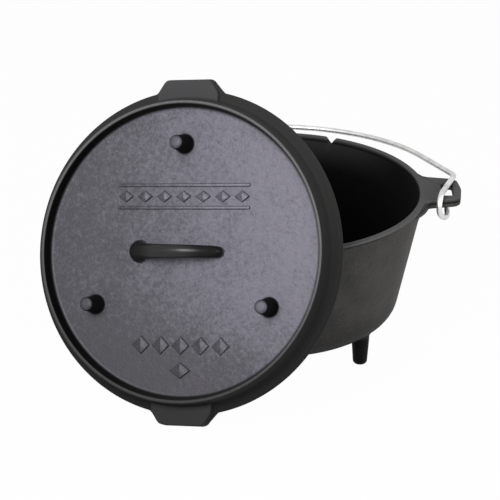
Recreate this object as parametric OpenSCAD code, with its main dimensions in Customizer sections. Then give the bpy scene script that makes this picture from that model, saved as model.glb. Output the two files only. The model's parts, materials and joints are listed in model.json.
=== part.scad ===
// Camp dutch oven: a cast pot on three legs, its cast lid with a coal ring, and a wire bail.
// The pot stands on z = 0 with its axis on Z, its ears on X. The lid is off and leans on the rim.

/* [Pot] */
// Inside diameter of the mouth, at the rim
mouth_d = 275; // [220:1:360]
// Depth inside, from the rim to the floor
pot_depth = 119; // [90:1:170]
// Lean of the wall from the vertical, in degrees
wall_lean = 12; // [6:0.5:16]
// Thickness of the wall
wall_t = 4.4; // [4:0.1:7]
// Thickness of the floor
floor_t = 5; // [4.5:0.1:8]
// Outside radius where the wall turns into the floor
corner_r = 22; // [14:0.5:32]
// Height of the band round the rim
band_h = 4; // [3:0.1:7]
// How far the band stands out from the wall
band_out = 1.3; // [0.6:0.1:2.5]

/* [Thermometer notch] */
// Width of the notch across the top of the rim
notch_w = 9.5; // [6:0.5:16]
// Depth of the notch
notch_depth = 6.5; // [3:0.1:8]
// Place of the notch, in degrees from the right ear towards the back
notch_angle = 65.5; // [40:0.5:80]

/* [Legs] */
// Height of the legs, from the ground to the pot's underside
leg_h = 28; // [18:0.5:45]
// Diameter of a leg at its root
leg_root_d = 17; // [14:0.5:22]
// Diameter of a leg at its tip
leg_tip_d = 13; // [9:0.5:14]
// How far the legs stand in from the sharp foot of the wall
leg_inset = 14; // [12:0.5:30]

/* [Ears] */
// How far an ear stands out from the rim
ear_reach = 33.2; // [29:0.1:45]
// Width of an ear at its outer end
ear_w = 47; // [43:0.5:60]
// Width of an ear where it leaves the rim
ear_root_w = 60; // [54:0.5:76]
// Thickness of an ear
ear_t = 6.7; // [5:0.1:9]
// Length of the slot in an ear, along the rim
slot_l = 31; // [26:0.5:34]
// Width of the slot, away from the rim
slot_w = 11.6; // [9.5:0.1:16]
// Width of the bar outside the slot
end_bar = 8.2; // [4:0.1:10]
// Radius where an ear runs into the rim
ear_fillet = 13; // [6:0.5:20]

/* [Lid] */
// How far the lid's flange reaches past the pot's rim
flange_over = 1.7; // [0.5:0.1:6]
// Thickness of the flange
flange_t = 6.3; // [5:0.1:10]
// Height of the plate's underside above the flange's seat
plate_rise = 9.9; // [7:0.1:14]
// Thickness of the plate
plate_t = 5; // [4:0.1:8]
// Height of the coal ring above the plate
ring_h = 10.6; // [7:0.1:18]
// Width of the coal ring at its top
ring_w = 3.5; // [3:0.1:5]
// Lean of the ring's inner face, over its height
ring_draft = 2.2; // [1:0.1:5]
// Depth of the locating lip under the seat
lip_h = 3.5; // [2:0.1:6]
// Thickness of the locating lip
lip_t = 5; // [4:0.1:8]
// Clearance between the lip and the pot's mouth
lip_gap = 1.2; // [0.6:0.1:2]

/* [Lid tabs] */
// Width of a lifting tab at its outer edge
tab_w = 44; // [34:0.5:60]
// How far a tab stands out from the flange
tab_out = 9.5; // [7:0.1:14]
// Thickness of a tab
tab_t = 12.3; // [9.5:0.1:15]
// Radius of a tab's corners
tab_r = 6; // [4:0.1:10]

/* [Lid pegs] */
// How far the pegs stand above the top of the handle
peg_over = 3; // [0.5:0.1:8]
// Diameter of a peg at its root
peg_root_d = 16; // [14:0.5:22]
// Diameter of a peg at its tip
peg_tip_d = 12; // [9:0.5:13]
// How far the pegs stand in from the foot of the coal ring
peg_inset = 33; // [20:0.5:45]

/* [Lid handle] */
// Distance between the middles of the handle's feet
handle_span = 75; // [60:1:100]
// Height of the handle above the plate
handle_h = 20.5; // [17:0.5:26]
// Width of the handle at its round foot
handle_w = 14; // [12:0.5:18]
// Width of the handle at its other foot
handle_end_w = 10; // [9:0.5:13]
// Thickness of the handle's bar
handle_t = 8.5; // [7:0.1:11]
// Diameter of the handle's round foot
boss_d = 21; // [16:0.5:26]
// How far the handle's middle lies from the lid's middle, towards its round foot
handle_aside = 3.2; // [0:0.1:8]

/* [Bail] */
// Diameter of the wire
wire_d = 5.2; // [4:0.1:6]
// Clearance between a hook and the bar that it turns on
hook_gap = 0.9; // [0.3:0.05:1.5]
// Clearance between the laid-back bail and the ears
rest_gap = 0.3; // [0.2:0.05:1]
// Slant of the bail's ends over the ears, in degrees
arm_slant = 17.8; // [5:0.1:22]
// How far the ends cross the hinge line inside the middle of the slots
hook_lead = 5.3; // [2:0.1:8]
// Gap between the rim and the middle of the laid-back bail
bail_gap = 26.4; // [12:0.1:40]
// Splay of the bail's straight sides, in degrees
bail_splay = 25.9; // [20:0.1:36]
// Radius of the bends at the bail's shoulders
shoulder_r = 10; // [8:0.5:16]

/* [Leaning lid] */
// Turn of the lid's face to the left of the front, in degrees
lid_yaw = 23; // [10:1:35]
// Lean of the lid from the vertical, in degrees
lid_lean = 25.4; // [18:0.1:32]
// Roll of the lid in its own plane, in degrees
lid_roll = 9; // [4:0.5:14]
// How far the lid's middle lies to the left of its contact with the rim
lid_aside = 24; // [0:1:40]
// Gap between the lid and the rim that it leans on
lean_gap = 0.3; // [0.2:0.05:1]

/* [Hidden] */
iron = [0.27, 0.26, 0.26];
iron_plate = [0.42, 0.41, 0.43];
zinc = [0.82, 0.83, 0.84];

$fn = 72;
// Steps in one rounded corner of an outline
corner_steps = 6;
// How deep a piece of a casting runs into the one that it grows from
root = 3;

// Pot: radii on its section, and the outside radius of the wall at a height, without the band
mouth_r = mouth_d / 2;
wall_slope = tan(wall_lean);
wall_run = wall_t / cos(wall_lean);
under_z = leg_h;
floor_z = leg_h + floor_t;
rim_z = floor_z + pot_depth;
function wall_r(z) = mouth_r + wall_run - (rim_z - z) * wall_slope;
rim_r = wall_r(rim_z) + band_out;
foot_r = wall_r(under_z);
floor_r = mouth_r - pot_depth * wall_slope;
rim_edge_r = 1.2;
band_step_r = 0.6;
notch_bottom_r = 1.5;

// Legs: place of the first one in degrees from the right ear, and how deep they run into the floor
legs = 3;
leg_turn = 83.5;
leg_r = foot_r - leg_inset;
leg_sink = 0.9 * floor_t;
leg_tip_r = leg_tip_d / 4;

// Ears: distance of the rim from the YZ plane, and half width of an ear, at a place
function rim_x(y) = sqrt(pow(rim_r, 2) - pow(y, 2));
ear_x = rim_r + ear_reach;
ear_bulge = 3;
ear_corner_r = 10;
ear_side_x = ear_x - ear_bulge;
ear_taper = (ear_root_w - ear_w) / 2 / (ear_side_x - rim_x(ear_root_w / 2));
function ear_half(x) = ear_w / 2 + (ear_side_x - x) * ear_taper;
slot_x = ear_x - end_bar - slot_w / 2;
slot_r = slot_w / 4;
// The bar in front of the slot, at its widest
bar_w = ear_half(slot_x - slot_w / 2) - slot_l / 2;

// Lid: radii and heights on its section, from the middle of the seat
flange_r = rim_r + flange_over;
lip_r = mouth_r - lip_h * wall_slope - lip_gap;
lip_draft = 2;
plate_z = plate_rise + plate_t;
ring_z = plate_z + ring_h;
ring_foot_r = lip_r - lip_t - lip_draft;
ring_in_r = ring_foot_r + ring_draft;
ring_out_r = ring_in_r + ring_w;
ring_back_draft = 2;
ring_root_r = ring_out_r + ring_back_draft;
under_fillet_r = 4;
lip_edge_r = 1.2;
flange_edge_r = 1.5;
flange_top_r = 2.5;
cove_r = 4;
ring_edge_r = 1.4;
ring_fillet_r = 3.5;

// Tabs: their sides spread towards the flange, and curve into it just under its edge
tab_spread = 3.4;
tab_root_r = 9;
tab_foot_w = tab_w + 2 * tab_spread;
tab_edge = flange_r + tab_out;
tab_root_y = sqrt(pow(flange_r, 2) - pow(tab_foot_w / 2, 2));
tab_flank = atan(tab_spread / (tab_edge - tab_root_y));
tab_sink = 0.5;
function tab_half(y) = tab_w / 2 + (tab_edge - y) * tan(tab_flank);

// Pegs: one of them stands in line with a tab, and the lid stands on them upside down
pegs = 3;
peg_turn = 90;
peg_r = ring_foot_r - peg_inset;
peg_h = handle_h + peg_over;
peg_flare = 2.5;
peg_tip_r = peg_tip_d / 5;

// Handle: share by which its bar thickens towards the feet, and the counts of its rings
handle_swell = 0.3;
handle_sides = 20;
handle_steps = 20;

// Bail: the hinge line runs under the middle of the bars in front of the slots
wire_r = wire_d / 2;
hinge_y = -(slot_l + bar_w) / 2;
hinge_z = rim_z - ear_t;
// A hook clears the bar's corners all the way round
hook_r = norm([bar_w / 2, ear_t]) + hook_gap + wire_r;
// A hook bows in over the front of its bar, then spreads out and comes up through the middle of the slot
hook_x = slot_x - hook_lead;
hook_bow = hook_r * tan(arm_slant);
hook_spread = 120;
hook_tip = 10;
// The laid-back bail slopes down until it rests on the far edges of the ears
ear_back = ear_w / 2 - hinge_y;
bail_drop = asin((hook_r - wire_r - rest_gap) / norm([ear_back, ear_t])) - atan(ear_t / ear_back);
// Places on the bail in its own plane, from the hinge line: the shoulders lie just past the ears
shoulder_past = 1;
shoulder_y = ear_back + shoulder_past;
shoulder_x = hook_x + shoulder_y * tan(arm_slant);
crown_y = rim_r + bail_gap + wire_r - hinge_y;
arch_r = (shoulder_x / tan(bail_splay) - (crown_y - shoulder_y)) / (1 / sin(bail_splay) - 1);
arch_y = crown_y - arch_r;
bend_run = shoulder_r * tan((bail_splay + arm_slant) / 2);
wire_sides = 14;
arch_steps = 12;
bend_steps = 5;
hook_steps = 28;

// The leaning lid touches the ground with a corner of its lower tab, and the rim with its plate's underside
rim_support = (rim_r - rim_edge_r) * cos(lid_lean) + (rim_z - rim_edge_r) * sin(lid_lean) + rim_edge_r;
tab_corner = [tab_w / 2 - tab_r * tan((90 - tab_flank) / 2), tab_edge - tab_r];
lid_z = (tab_corner * [sin(lid_roll), cos(lid_roll)] + tab_r) * cos(lid_lean);
lid_out = (rim_support + lean_gap - plate_rise - lid_z * sin(lid_lean)) / cos(lid_lean);

// Unit vector
function unit(v) = v / norm(v);

// Points of one corner p, between the points a and b, rounded with radius p[2]
function corner(a, p, b) =
    let (at = [p[0], p[1]],
         u = unit([a[0], a[1]] - at),
         v = unit([b[0], b[1]] - at),
         half = acos(u * v) / 2,
         middle = at + unit(u + v) * p[2] / sin(half),
         from = at + u * p[2] / tan(half) - middle,
         turn = (u[0] * v[1] - u[1] * v[0] > 0 ? -1 : 1) * (180 - 2 * half))
    p[2] == 0 ? [at] : [
        for (i = [0 : corner_steps])
            let (t = turn * i / corner_steps)
            middle + [from[0] * cos(t) - from[1] * sin(t), from[0] * sin(t) + from[1] * cos(t)]
    ];

// A closed outline from points [x, y, radius]
function rounded(points) =
    let (n = len(points))
    [for (i = [0 : n - 1]) each corner(points[(i + n - 1) % n], points[i], points[(i + 1) % n])];

// Pot

module pot_shell() {
    rotate_extrude()
        polygon(rounded([
            [0, under_z, 0],
            [foot_r, under_z, corner_r],
            [wall_r(rim_z - band_h), rim_z - band_h, band_step_r],
            [rim_r, rim_z - band_h, band_step_r],
            [rim_r, rim_z, rim_edge_r],
            [mouth_r, rim_z, rim_edge_r],
            [floor_r, floor_z, corner_r - wall_t],
            [0, floor_z, 0]
        ]));
}

// A leg hangs from the floor and its rounded corner, into which it runs
module leg() {
    top_z = leg_h + leg_sink;
    top_d = leg_tip_d + (leg_root_d - leg_tip_d) * top_z / leg_h;
    rotate_extrude()
        polygon(rounded([
            [0, 0, 0],
            [leg_tip_d / 2, 0, leg_tip_r],
            [top_d / 2, top_z, 0],
            [0, top_z, 0]
        ]));
}

// The right ear, flush with the top of the rim, without its slot
module ear() {
    side = ear_root_w / 2;
    spread = side + ear_fillet;
    translate([0, 0, rim_z - ear_t])
        difference() {
            linear_extrude(ear_t)
                polygon(rounded([
                    [rim_x(spread) - root, -spread - root, 0],
                    [rim_x(spread), -spread, 0],
                    [rim_x(side), -side, ear_fillet],
                    [ear_side_x, -ear_w / 2, ear_corner_r],
                    [ear_x, 0, ear_w],
                    [ear_side_x, ear_w / 2, ear_corner_r],
                    [rim_x(side), side, ear_fillet],
                    [rim_x(spread), spread, 0],
                    [rim_x(spread) - root, spread + root, 0]
                ]));
            translate([0, 0, -root])
                cylinder(h = ear_t + 2 * root, r = mouth_r + wall_run / 2);
        }
}

module ear_slot() {
    translate([slot_x, 0, rim_z - ear_t - root])
        linear_extrude(ear_t + 2 * root)
            polygon(rounded([
                for (c = [[-1, -1], [1, -1], [1, 1], [-1, 1]])
                    [c[0] * slot_w / 2, c[1] * slot_l / 2, slot_r]
            ]));
}

// A V through the rim for a thermometer's stem, with a round bottom
module notch() {
    top = notch_w / 2 * (notch_depth + root) / notch_depth;
    inner = mouth_r - notch_depth * wall_slope - root;
    rotate([0, 0, notch_angle])
        translate([inner, 0, rim_z])
            rotate([90, 0, 90])
                linear_extrude(rim_r + root - inner)
                    polygon(rounded([[-top, root, 0], [0, -notch_depth, notch_bottom_r], [top, root, 0]]));
}

module pot() {
    color(iron)
        difference() {
            union() {
                pot_shell();
                for (side = [0, 1])
                    mirror([side, 0, 0])
                        ear();
                for (i = [0 : legs - 1])
                    rotate([0, 0, leg_turn + i * 360 / legs])
                        translate([leg_r, 0, 0])
                            leg();
            }
            for (side = [0, 1])
                mirror([side, 0, 0])
                    ear_slot();
            notch();
        }
}

// Lid: its own origin is the middle of the flange's seat, with its top on +Z and its tabs on Y

module lid_dish() {
    rotate_extrude()
        polygon(rounded([
            [0, plate_rise, 0],
            [ring_foot_r, plate_rise, under_fillet_r],
            [lip_r - lip_t, -lip_h, lip_edge_r],
            [lip_r, -lip_h, lip_edge_r],
            [lip_r, 0, lip_edge_r],
            [flange_r, 0, flange_edge_r],
            [flange_r, flange_t, flange_top_r],
            [ring_root_r, flange_t, cove_r],
            [ring_out_r, ring_z, ring_edge_r],
            [ring_in_r, ring_z, ring_edge_r],
            [ring_foot_r, plate_z, ring_fillet_r],
            [0, plate_z, 0]
        ]));
}

// The tab on +Y: a block that runs into the coal ring, on a lower foot that curves into the flange
module tab() {
    block_y = ring_in_r - root;
    foot_y = tab_root_y + tab_root_r;
    wide = tab_foot_w / 2 + tab_root_r;
    wide_y = sqrt(pow(flange_r, 2) - pow(wide, 2)) - tab_sink;
    linear_extrude(tab_t)
        polygon(rounded([
            [-tab_half(block_y), block_y, 0],
            [-tab_w / 2, tab_edge, tab_r],
            [tab_w / 2, tab_edge, tab_r],
            [tab_half(block_y), block_y, 0]
        ]));
    linear_extrude(flange_t - tab_sink)
        polygon(rounded([
            [-wide, block_y, 0],
            [-wide, wide_y, 0],
            [-tab_foot_w / 2, tab_root_y - tab_sink, tab_root_r],
            [-tab_half(foot_y), foot_y, 0],
            [tab_half(foot_y), foot_y, 0],
            [tab_foot_w / 2, tab_root_y - tab_sink, tab_root_r],
            [wide, wide_y, 0],
            [wide, block_y, 0]
        ]));
}

// A tapered peg on the plate, with a flared root
module peg() {
    rotate_extrude()
        polygon(rounded([
            [0, -root, 0],
            [peg_root_d / 2 + peg_flare, -root, 0],
            [peg_root_d / 2 + peg_flare, 0, 0],
            [peg_root_d / 2, 0, peg_flare],
            [peg_tip_d / 2, peg_h, peg_tip_r],
            [0, peg_h, 0]
        ]));
}

// One oval ring of the handle's arch: a runs from 0 at the round foot to 180 at the other
function handle_ring(a, sink) =
    let (mid_z = handle_h - handle_t / 2,
         bar_half_w = (handle_w + (handle_end_w - handle_w) * a / 180) / 2,
         bar_half_t = handle_t / 2 * (1 + handle_swell * pow(cos(a), 2)),
         flare = a < 90 ? pow(1 - sin(a), 2) : 0,
         half_w = bar_half_w + (boss_d / 2 - bar_half_w) * flare,
         half_t = bar_half_t + (boss_d / 2 - bar_half_t) * flare,
         along = unit([handle_span / 2 * sin(a), 0, mid_z * cos(a)]),
         out = [-along[2], 0, along[0]],
         middle = [-handle_span / 2 * cos(a), 0, mid_z * sin(a) - sink])
    [for (j = [0 : handle_sides - 1])
        let (t = 360 * j / handle_sides)
        middle - [0, half_w * cos(t), 0] + out * half_t * sin(t)];

// A closed tube through rings of as many points each, which run clockwise seen from the far end
module loft(rings) {
    n = len(rings[0]);
    last = len(rings) - 1;
    polyhedron(
        points = [for (ring = rings) each ring],
        faces = [
            [for (j = [n - 1 : -1 : 0]) j],
            for (i = [0 : last - 1], j = [0 : n - 1])
                each [
                    [i * n + j, i * n + (j + 1) % n, (i + 1) * n + (j + 1) % n],
                    [i * n + j, (i + 1) * n + (j + 1) % n, (i + 1) * n + j]
                ],
            [for (j = [0 : n - 1]) last * n + j]
        ]
    );
}

module handle() {
    loft([
        handle_ring(0, root),
        for (i = [0 : handle_steps]) handle_ring(180 * i / handle_steps, 0),
        handle_ring(180, root)
    ]);
}

module lid_casting() {
    color(iron)
        union() {
            lid_dish();
            for (end = [0, 1])
                mirror([0, end, 0])
                    tab();
        }
    color(iron_plate)
        translate([0, 0, plate_z]) {
            for (i = [0 : pegs - 1])
                rotate([0, 0, peg_turn + i * 360 / pegs])
                    translate([peg_r, 0, 0])
                        peg();
            translate([-handle_aside, 0, 0])
                handle();
        }
}

module lid() {
    rotate([0, 0, -lid_yaw])
        translate([-lid_aside, -lid_out, lid_z])
            rotate([90 - lid_lean, 0, 0])
                rotate([0, 0, lid_roll])
                    lid_casting();
}

// Bail

// One ring of the wire about a point, between the directions u and v
function wire_ring(at, u, v) = [
    for (j = [0 : wire_sides - 1])
        let (t = 360 * j / wire_sides)
        at + wire_r * (u * cos(t) + v * sin(t))
];

// A ring in the plane of the arch, at the end of a radius that points to the angle a
function flat_ring(middle, radius, a) =
    wire_ring(
        [middle[0] + radius * cos(a), middle[1] + radius * sin(a), hook_r],
        [-cos(a), -sin(a), 0],
        [0, 0, 1]
    );

// A point of the hook, which runs round the hinge line from 90 degrees over it, and the ring there
function hook_point(a) =
    let (front = hook_x - hook_bow,
         spread = (1 - cos(180 * min(1, (a - 180) / hook_spread))) / 2,
         x = a < 180 ? hook_x + hook_bow * cos(a) : front + (slot_x - front) * spread)
    [x, hook_r * cos(a), hook_r * sin(a)];

function hook_ring(a) =
    let (out = [0, cos(a), sin(a)],
         along = unit(hook_point(a + 1) - hook_point(a - 1)))
    wire_ring(hook_point(a), cross(along, out), out);

// The right half from its crown to the tip of its hook, with the hinge line on X
function bail_half() =
    let (bend_in = [shoulder_x, shoulder_y] - bend_run * [sin(bail_splay), -cos(bail_splay)],
         bend_middle = bend_in - shoulder_r * [cos(bail_splay), sin(bail_splay)])
    [
        for (i = [0 : arch_steps])
            flat_ring([0, arch_y], arch_r, 90 - (90 - bail_splay) * i / arch_steps),
        for (i = [0 : bend_steps])
            flat_ring(bend_middle, shoulder_r, bail_splay - (bail_splay + arm_slant) * i / bend_steps),
        for (i = [0 : hook_steps])
            hook_ring(90 + (270 + hook_tip) * i / hook_steps)
    ];

function mirrored(ring) = [for (p = ring) [-p[0], p[1], p[2]]];

module bail() {
    half = bail_half();
    color(zinc)
        translate([0, hinge_y, hinge_z])
            rotate([-bail_drop, 0, 0])
                loft([
                    for (i = [len(half) - 1 : -1 : 1]) mirrored(half[i]),
                    for (ring = half) ring
                ]);
}

pot();
lid();
bail();
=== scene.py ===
"""Camp dutch oven: the surfaces, finishes and studio of a cast pot on legs, its lid and its wire bail.

Sizes are in millimetres in the part's own frame: the pot's axis is Z, its ears lie on X, and the ground
is z = 0.
"""

import json
import math

import bmesh
import bpy
import numpy as np
from mathutils import Matrix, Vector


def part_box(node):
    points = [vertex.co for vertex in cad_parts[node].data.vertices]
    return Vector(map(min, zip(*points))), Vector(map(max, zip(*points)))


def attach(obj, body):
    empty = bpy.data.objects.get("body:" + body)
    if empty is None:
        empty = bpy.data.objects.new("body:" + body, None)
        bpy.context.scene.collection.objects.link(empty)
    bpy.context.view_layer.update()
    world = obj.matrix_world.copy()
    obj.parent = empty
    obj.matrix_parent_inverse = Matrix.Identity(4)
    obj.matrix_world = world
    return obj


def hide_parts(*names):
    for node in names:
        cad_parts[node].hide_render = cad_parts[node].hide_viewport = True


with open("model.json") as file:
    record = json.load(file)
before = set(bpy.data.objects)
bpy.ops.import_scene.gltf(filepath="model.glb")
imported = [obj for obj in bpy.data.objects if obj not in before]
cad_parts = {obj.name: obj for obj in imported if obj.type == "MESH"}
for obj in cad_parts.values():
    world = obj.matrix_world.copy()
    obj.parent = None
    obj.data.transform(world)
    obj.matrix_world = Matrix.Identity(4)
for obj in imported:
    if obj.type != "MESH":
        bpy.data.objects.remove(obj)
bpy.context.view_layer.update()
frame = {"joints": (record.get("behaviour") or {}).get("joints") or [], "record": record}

MM = 0.001
TURN = 2 * math.pi
mounts = {mount["name"]: mount for mount in frame["record"]["mounts"]}
hinge = next(joint for joint in frame["joints"] if joint["name"] == "bail_swing")
HINGE_Y, HINGE_Z = (value / MM for value in hinge["pos_m"][1:])

# Mesh fineness: arc steps in a rounded corner, longest straight step of a section, steps round an axis
CORNER_STEPS = 8
EDGE_STEPS = 4
SECTION_STEP = 9.0
FINE_STEP = 3.0
ROUND_STEPS = 240
SMALL_ROUND_STEPS = 64
WELD = 2e-6
SAME_POINT = 1e-6
SHARP = math.radians(38)
# How deep a piece of a casting runs into the one that it grows from, and a little way under its skin
ROOT = 3.0
SUNK = 0.5

# Pot
RIM_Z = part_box("pot")[1].z / MM
POT_DEPTH = 119.0
FLOOR_T = 5.0
MOUTH_R = 137.5
WALL_LEAN = math.radians(12)
WALL_SLOPE = math.tan(WALL_LEAN)
WALL_T = 4.4
WALL_RUN = WALL_T / math.cos(WALL_LEAN)
CORNER_R = 22.0
BAND_H = 2.6
BAND_OUT = 1.3
RIM_EDGE_R = 1.2
BAND_STEP_R = 0.6
FLOOR_Z = RIM_Z - POT_DEPTH
UNDER_Z = FLOOR_Z - FLOOR_T
FLOOR_R = MOUTH_R - POT_DEPTH * WALL_SLOPE
RIM_R = MOUTH_R + WALL_RUN + BAND_OUT
NOTCH_AT = math.radians(65.5)
NOTCH_W = 9.5
NOTCH_DEPTH = 6.5
NOTCH_ROUND = 0.8
NOTCH_STEPS = 49
NOTCH_CLEAR = 1.1

# Legs
LEG_ROOT_D = 17.0
LEG_TIP_D = 13.0
LEG_FLARE = 2.5
LEG_BEND = 8.0

# Ears: EAR_T is the depth that the bail's hook is bent for, EAR_DEPTH the depth that shows
EAR_REACH = 33.2
EAR_X = RIM_R + EAR_REACH
EAR_W = 47.0
EAR_ROOT_W = 60.0
EAR_T = 6.7
EAR_DEPTH = 8.2
EAR_BULGE = 3.0
EAR_CORNER_R = 10.0
EAR_FILLET = 13.0
EAR_EDGE_R = 0.9
EAR_STEP = 2.5
EAR_WALL_STEPS = 40
EAR_SINK = 0.4
EAR_SINK_R = (RIM_R - 2.0, RIM_R - 0.6)
EAR_WEB_OUT = 7.0
EAR_WEB_DROP = 24.0
EAR_WEB_W = 110.0
EAR_WEB_SUNK = 0.3
EAR_WEB_TOP = 0.2
EAR_WEB_STEPS = (49, 13)
SLOT_L = 31.0
SLOT_W = 11.6
SLOT_R = SLOT_W / 4
END_BAR = 8.2
SLOT_X = EAR_X - END_BAR - SLOT_W / 2
SLOT_LIP = 0.9
SLOT_BACK_R = 7.4
SLOT_STEP = 0.5

# Lid, from the middle of its seat: the plate, the coal ring round it, the flange and the lip under it
FLANGE_OVER = 1.7
FLANGE_R = RIM_R + FLANGE_OVER
FLANGE_T = 6.3
PLATE_RISE = 9.9
PLATE_T = 5.0
PLATE_Z = PLATE_RISE + PLATE_T
RING_H = 10.6
RING_Z = PLATE_Z + RING_H
LIP_H = 3.5
LIP_T = 5.0
LIP_GAP = 1.2
LIP_R = MOUTH_R - LIP_H * WALL_SLOPE - LIP_GAP
LIP_SLANT = 2.0
RING_IN_SLANT = 2.2
RING_T = 3.5
RING_OUT_SLANT = 2.0
RING_FOOT_R = LIP_R - LIP_T - LIP_SLANT
RING_IN_R = RING_FOOT_R + RING_IN_SLANT
RING_OUT_R = RING_IN_R + RING_T
RING_ROOT_R = RING_OUT_R + RING_OUT_SLANT

# Tabs, pegs and handle of the lid
TAB_W = 43.0
TAB_FOOT_W = 60.0
TAB_OUT = 9.5
TAB_T = 12.3
TAB_R = 8.0
TAB_ROOT_R = 9.0
TAB_ROOT_OUT = 2.5
TAB_EDGE_R = 1.2
TAB_DRAFT = 1.6
TAB_LIFT = 0.15
TAB_EDGE = FLANGE_R + TAB_OUT
TAB_FOOT_Y = math.sqrt(FLANGE_R**2 - TAB_FOOT_W**2 / 4)
TAB_SLANT = (TAB_FOOT_W - TAB_W) / 2 / (TAB_EDGE - TAB_FOOT_Y)
TAB_FOOT_IN = 0.3
PEG_INSET = 33.0
PEG_R = RING_FOOT_R - PEG_INSET
PEG_ROOT_D = 16.0
PEG_TIP_D = 12.0
PEG_TIP_R = PEG_TIP_D * 0.28
PEG_FLARE = 2.5
PEG_TURNS = [math.radians(90 + 120 * i) for i in range(3)]
PEG_PLACES = [(PEG_R * math.cos(turn), PEG_R * math.sin(turn)) for turn in PEG_TURNS]
HANDLE_SPAN = 75.0
HANDLE_ASIDE = 3.2
HANDLE_H = 20.5
HANDLE_W = 14.0
HANDLE_END_W = 10.0
HANDLE_T = 8.5
HANDLE_SWELL = 0.3
HANDLE_STEPS = (49, 40)
BOSS_D = 21.0
BOSS_PLACE = (-HANDLE_SPAN / 2 - HANDLE_ASIDE, 0)
PEG_OVER_HANDLE = 3.0
PEG_H = HANDLE_H + PEG_OVER_HANDLE

# Section of the lid: its fillets and rounded edges
UNDER_FILLET_R = 4.0
LIP_EDGE_R = 1.2
FLANGE_EDGE_R = 1.5
FLANGE_TOP_R = 2.5
COVE_R = 4.0
RING_EDGE_R = 1.4
RING_FILLET_R = 3.5

# Relief on the lid's plate: how far its edge draws in at shares of its height, two rails, and rows of
# lozenges (count, length, width, step, height on the plate)
RELIEF_H = 1.8
RELIEF_SUNK = 0.6
RELIEF_EDGE = ((0, 0), (0.25, 0.6), (0.5, 0.9), (0.9, 1))
RAIL_L = 126.0
RAIL_W = 3.2
RAIL_R = 1.2
RAILS_Y = (59.0, 39.0)
LOZENGE_END_R = 0.6
LOZENGE_SIDE_R = 0.8
LOZENGE_ROWS = (
    (7, 15.0, 11.0, 18.5, 49.0),
    (5, 17.0, 17.0, 19.0, -83.0),
    (1, 20.0, 15.0, 0.0, -105.0),
)

# Bail
WIRE_R = 2.6
ARM_SLANT = math.radians(17.8)
HOOK_LEAD = 5.3
HOOK_GAP = 0.9
HOOK_SPREAD = math.radians(120)
REST_GAP = 0.3
SHOULDER_PAST = 1.0
BAIL_SPLAY = math.radians(25.9)
BAIL_GAP = 26.4
SHOULDER_R = 10.0
HOOK_X = SLOT_X - HOOK_LEAD
HOOK_ENDS = (math.radians(90), math.radians(370))
HOOK_NEAR = 0.01
EAR_BACK = EAR_W / 2 - HINGE_Y
TIP_L = 0.45 * WIRE_R
ARCH_STEPS = 41
SHOULDER_STEPS = 15
HOOK_STEPS = 71
TIP_STEPS = 6
WIRE_SIDES = 24

# Tones, as a linear grey level and how warm it is. The pot: its skin; its top, rubbed and with painted
# light; its inside, oil-black and with painted shade; painted light on the inside's back wall; and painted
# shade underneath
POT_DARK = (0.0468, 0.02)
POT_LIGHT = (0.0732, 0.04)
POT_TOP = (0.1, -0.01)
POT_INSIDE = (0.0045, 0.0)
POT_INSIDE_LIT = (0.034, 0.0)
POT_SHADE = (0.004, 0.0)
# The lid: its plate, flange (with painted light), coal ring's crest (painted highlight) and inner wall
# (painted shade), pegs' sides (painted shade), handle, and tabs' faces (painted light)
PLATE_DARK = (0.062, -0.1)
PLATE_LIGHT = (0.13, -0.14)
FLANGE_SHADED = (0.0165, 0.02)
FLANGE_LIT = (0.0352, 0.02)
CREST_SHADED = (0.0385, -0.02)
CREST_LIT = (0.0875, -0.02)
RING_WALL_DEEP_SHADE = (0.0016, 0.0)
RING_WALL_THIN_SHADE = (0.024, 0.0)
PEG_SIDE_SHADE = (0.003, 0.0)
HANDLE_BAR = (0.01, 0.03)
TAB_SHADED = (0.03375, -0.03)
TAB_LIT = (0.063, -0.03)
# The wire
ZINC_BRIGHT = (0.7, 0.0)
ZINC_DULL = (0.54, 0.01)
# How much of a tone's warmth, or of its lack, comes off its green
WARM_GREEN = 0.3

# Noise, as patch size, detail and roughness, and the heights of the cast grain
CLOUD = (26.0, 4.0, 0.62)
SPECK = (2.4, 3.0, 0.7)
MOTTLE = (5.0, 3.0, 0.6)
SAND = (1.4, 3.0, 0.65)
SWELL = (7.0, 2.0, 0.5)
PITS = (3.2, 1.0, 0.4)
TARNISH = (14.0, 3.0, 0.6)
SPANGLE = (1.1, 2.0, 0.5)
SAND_H = 0.2
SWELL_H = 0.3
PIT_H = 0.12
SPANGLE_H = 0.03

# Where noise turns from one tone to the other, how much each noise counts on the plate, and how much its
# painted light, and its painted shade at the foot, count
PIT_SHARE = (0.66, 0.76)
POT_PATCHES = (0.34, 0.66)
PLATE_PATCHES = (0.22, 0.78)
ZINC_PATCHES = (0.35, 0.7)
PLATE_CLOUD = 0.35
PLATE_SPECK = 0.7
PLATE_MOTTLE = 0.5
PLATE_PAINTED_LIGHT = 0.35
PLATE_OFFSET = 0.45
PAINTED_SHADE_FOOT_DEPTH = 0.7

# How far the rubbed top with painted light, the peg tips' lit tone, and the painted shade underneath, low on
# the wall and in the groove under the band cover the skin
RUBBED_AND_LIT = 0.9
TIP_LIT = 0.85
SHADE_UNDER = 0.55
SHADE_LOW = 0.4
SHADE_GROOVE = 0.8

# Gloss and metal
PLATE_METAL = 0.6
ZINC_METAL = 0.9
POT_ROUGHNESS = 0.5
PLATE_ROUGHNESS = 0.42
FLANGE_ROUGHNESS = 0.2
HANDLE_SHINE = 0.3
ZINC_ROUGHNESS = 0.32
SPECK_ROUGHNESS = 0.12
CLOUD_ROUGHNESS = 0.08
TARNISH_ROUGHNESS = 0.2
GRAIN_STRENGTH = 0.8
SPANGLE_STRENGTH = 0.5
OIL_GLOSS = 0.05
COAT_ROUGHNESS = 0.26
BAR_COAT = 0.06
CROWN_COAT = 0.49

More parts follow.
